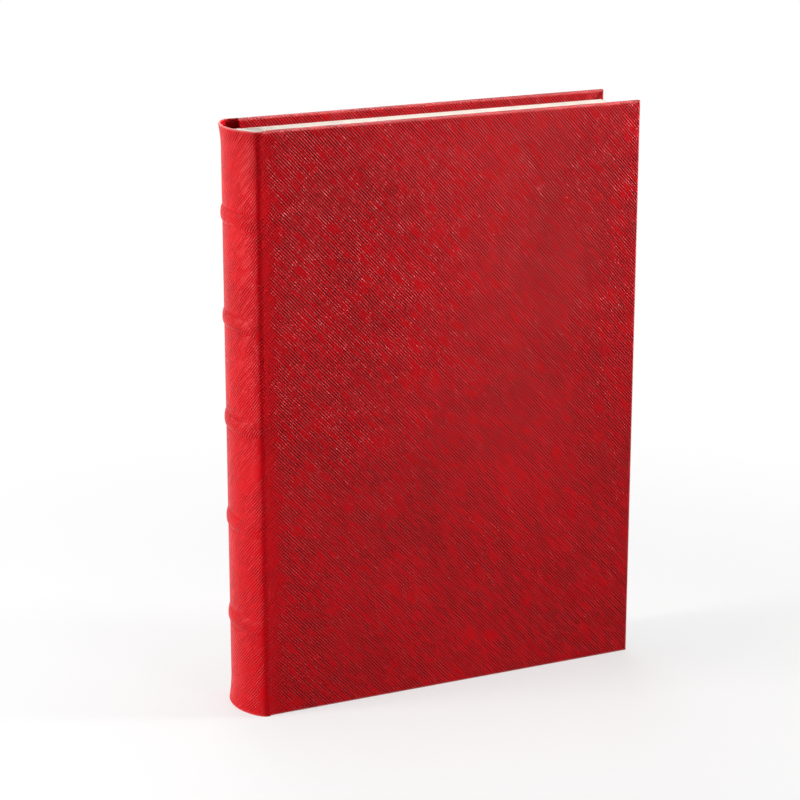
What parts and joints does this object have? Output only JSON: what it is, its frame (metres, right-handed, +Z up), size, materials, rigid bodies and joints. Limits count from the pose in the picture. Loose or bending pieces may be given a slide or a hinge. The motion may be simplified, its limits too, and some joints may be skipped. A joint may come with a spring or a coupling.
{
  "type": "stamp album",
  "caption": "Upright stamp album bound in red cross-grain leather, with a gently rounded hollow spine, raised bands, hinged covers and stock leaves with clear pocket strips.",
  "frame": {"origin": "under the middle of the closed album's box, on the surface that its tail stands on", "axes": "+X from the spine to the fore-edge, +Y from the front cover to the back cover, +Z up from the tail to the head"},
  "size_m": [0.2278, 0.0432, 0.31],
  "materials": {
    "cover_leather": "satin red with an embossed cross grain",
    "board": "matt grey-brown board",
    "endpaper": "matt cream paper",
    "guard_paper": "matt off-white paper",
    "leaf_card": "matt off-white card",
    "hinge_linen": "fine woven linen",
    "clear_film": "clear glossy film"
  },
  "bodies": {
    "binding": {"spine_leather": "cover_leather", "spine_inlay": "board", "raised_bands": "board", "guard_stubs": "guard_paper"},
    "front_cover": {"front_cover_leather": "cover_leather", "front_board": "board", "front_pastedown": "endpaper"},
    "back_cover": {"back_cover_leather": "cover_leather", "back_board": "board", "back_pastedown": "endpaper"},
    "front_flyleaf": {"front_flyleaf": "endpaper"},
    "back_flyleaf": {"back_flyleaf": "endpaper"},
    "leaf_01": {"leaf_01_card": "leaf_card", "leaf_01_linen": "hinge_linen", "leaf_01_strips": "clear_film"},
    "leaf_02": {"leaf_02_card": "leaf_card", "leaf_02_linen": "hinge_linen", "leaf_02_strips": "clear_film"},
    "leaf_03": {"leaf_03_card": "leaf_card", "leaf_03_linen": "hinge_linen", "leaf_03_strips": "clear_film"},
    "leaf_04": {"leaf_04_card": "leaf_card", "leaf_04_linen": "hinge_linen", "leaf_04_strips": "clear_film"},
    "leaf_05": {"leaf_05_card": "leaf_card", "leaf_05_linen": "hinge_linen", "leaf_05_strips": "clear_film"},
    "leaf_06": {"leaf_06_card": "leaf_card", "leaf_06_linen": "hinge_linen", "leaf_06_strips": "clear_film"},
    "leaf_07": {"leaf_07_card": "leaf_card", "leaf_07_linen": "hinge_linen", "leaf_07_strips": "clear_film"},
    "leaf_08": {"leaf_08_card": "leaf_card", "leaf_08_linen": "hinge_linen", "leaf_08_strips": "clear_film"},
    "leaf_09": {"leaf_09_card": "leaf_card", "leaf_09_linen": "hinge_linen", "leaf_09_strips": "clear_film"},
    "leaf_10": {"leaf_10_card": "leaf_card", "leaf_10_linen": "hinge_linen", "leaf_10_strips": "clear_film"},
    "leaf_11": {"leaf_11_card": "leaf_card", "leaf_11_linen": "hinge_linen", "leaf_11_strips": "clear_film"},
    "leaf_12": {"leaf_12_card": "leaf_card", "leaf_12_linen": "hinge_linen", "leaf_12_strips": "clear_film"},
    "leaf_13": {"leaf_13_card": "leaf_card", "leaf_13_linen": "hinge_linen", "leaf_13_strips": "clear_film"},
    "leaf_14": {"leaf_14_card": "leaf_card", "leaf_14_linen": "hinge_linen", "leaf_14_strips": "clear_film"},
    "leaf_15": {"leaf_15_card": "leaf_card", "leaf_15_linen": "hinge_linen", "leaf_15_strips": "clear_film"},
    "leaf_16": {"leaf_16_card": "leaf_card", "leaf_16_linen": "hinge_linen", "leaf_16_strips": "clear_film"}
  },
  "joints": [
    {"name": "front_cover_hinge", "type": "hinge", "parent": "binding", "child": "front_cover", "pos_m": [-0.1016, -0.02185, 0], "axis": [0, 0, -1], "range_deg": [0, 180]},
    {"name": "back_cover_hinge", "type": "hinge", "parent": "binding", "child": "back_cover", "pos_m": [-0.1016, 0.02185, 0], "axis": [0, 0, 1], "range_deg": [0, 180]},
    {"name": "front_flyleaf_hinge", "type": "hinge", "parent": "binding", "child": "front_flyleaf", "pos_m": [-0.0966, -0.0165, 0], "axis": [0, 0, -1], "range_deg": [0, 70.01]},
    {"name": "back_flyleaf_hinge", "type": "hinge", "parent": "binding", "child": "back_flyleaf", "pos_m": [-0.0966, 0.0165, 0], "axis": [0, 0, 1], "range_deg": [0, 70.01]},
    {"name": "leaf_01_hinge", "type": "hinge", "parent": "binding", "child": "leaf_01", "pos_m": [-0.0951, -0.015, 0], "axis": [0, 0, -1], "range_deg": [0, 60.01]},
    {"name": "leaf_02_hinge", "type": "hinge", "parent": "binding", "child": "leaf_02", "pos_m": [-0.0951, -0.013, 0], "axis": [0, 0, -1], "range_deg": [0, 52.51]},
    {"name": "leaf_03_hinge", "type": "hinge", "parent": "binding", "child": "leaf_03", "pos_m": [-0.0951, -0.011, 0], "axis": [0, 0, -1], "range_deg": [0, 45.01]},
    {"name": "leaf_04_hinge", "type": "hinge", "parent": "binding", "child": "leaf_04", "pos_m": [-0.0951, -0.009, 0], "axis": [0, 0, -1], "range_deg": [0, 37.51]},
    {"name": "leaf_05_hinge", "type": "hinge", "parent": "binding", "child": "leaf_05", "pos_m": [-0.0951, -0.007, 0], "axis": [0, 0, -1], "range_deg": [0, 30.01]},
    {"name": "leaf_06_hinge", "type": "hinge", "parent": "binding", "child": "leaf_06", "pos_m": [-0.0951, -0.005, 0], "axis": [0, 0, -1], "range_deg": [0, 22.51]},
    {"name": "leaf_07_hinge", "type": "hinge", "parent": "binding", "child": "leaf_07", "pos_m": [-0.0951, -0.003, 0], "axis": [0, 0, -1], "range_deg": [0, 15.01]},
    {"name": "leaf_08_hinge", "type": "hinge", "parent": "binding", "child": "leaf_08", "pos_m": [-0.0951, -0.001, 0], "axis": [0, 0, -1], "range_deg": [0, 7.51]},
    {"name": "leaf_09_hinge", "type": "hinge", "parent": "binding", "child": "leaf_09", "pos_m": [-0.0951, 0.001, 0], "axis": [0, 0, 1], "range_deg": [0, 7.51]},
    {"name": "leaf_10_hinge", "type": "hinge", "parent": "binding", "child": "leaf_10", "pos_m": [-0.0951, 0.003, 0], "axis": [0, 0, 1], "range_deg": [0, 15.01]},
    {"name": "leaf_11_hinge", "type": "hinge", "parent": "binding", "child": "leaf_11", "pos_m": [-0.0951, 0.005, 0], "axis": [0, 0, 1], "range_deg": [0, 22.51]},
    {"name": "leaf_12_hinge", "type": "hinge", "parent": "binding", "child": "leaf_12", "pos_m": [-0.0951, 0.007, 0], "axis": [0, 0, 1], "range_deg": [0, 30.01]},
    {"name": "leaf_13_hinge", "type": "hinge", "parent": "binding", "child": "leaf_13", "pos_m": [-0.0951, 0.009, 0], "axis": [0, 0, 1], "range_deg": [0, 37.51]},
    {"name": "leaf_14_hinge", "type": "hinge", "parent": "binding", "child": "leaf_14", "pos_m": [-0.0951, 0.011, 0], "axis": [0, 0, 1], "range_deg": [0, 45.01]},
    {"name": "leaf_15_hinge", "type": "hinge", "parent": "binding", "child": "leaf_15", "pos_m": [-0.0951, 0.013, 0], "axis": [0, 0, 1], "range_deg": [0, 52.51]},
    {"name": "leaf_16_hinge", "type": "hinge", "parent": "binding", "child": "leaf_16", "pos_m": [-0.0951, 0.015, 0], "axis": [0, 0, 1], "range_deg": [0, 60.01]}
  ],
  "couplings": [
    {"joint": "front_flyleaf_hinge", "follows": "front_cover_hinge", "ratio": 0.38889},
    {"joint": "back_flyleaf_hinge", "follows": "back_cover_hinge", "ratio": 0.38889},
    {"joint": "leaf_01_hinge", "follows": "front_cover_hinge", "ratio": 0.33333},
    {"joint": "leaf_02_hinge", "follows": "front_cover_hinge", "ratio": 0.29167},
    {"joint": "leaf_03_hinge", "follows": "front_cover_hinge", "ratio": 0.25},
    {"joint": "leaf_04_hinge", "follows": "front_cover_hinge", "ratio": 0.20833},
    {"joint": "leaf_05_hinge", "follows": "front_cover_hinge", "ratio": 0.16667},
    {"joint": "leaf_06_hinge", "follows": "front_cover_hinge", "ratio": 0.125},
    {"joint": "leaf_07_hinge", "follows": "front_cover_hinge", "ratio": 0.083333},
    {"joint": "leaf_08_hinge", "follows": "front_cover_hinge", "ratio": 0.041667},
    {"joint": "leaf_09_hinge", "follows": "back_cover_hinge", "ratio": 0.041667},
    {"joint": "leaf_10_hinge", "follows": "back_cover_hinge", "ratio": 0.083333},
    {"joint": "leaf_11_hinge", "follows": "back_cover_hinge", "ratio": 0.125},
    {"joint": "leaf_12_hinge", "follows": "back_cover_hinge", "ratio": 0.16667},
    {"joint": "leaf_13_hinge", "follows": "back_cover_hinge", "ratio": 0.20833},
    {"joint": "leaf_14_hinge", "follows": "back_cover_hinge", "ratio": 0.25},
    {"joint": "leaf_15_hinge", "follows": "back_cover_hinge", "ratio": 0.29167},
    {"joint": "leaf_16_hinge", "follows": "back_cover_hinge", "ratio": 0.33333}
  ]
}
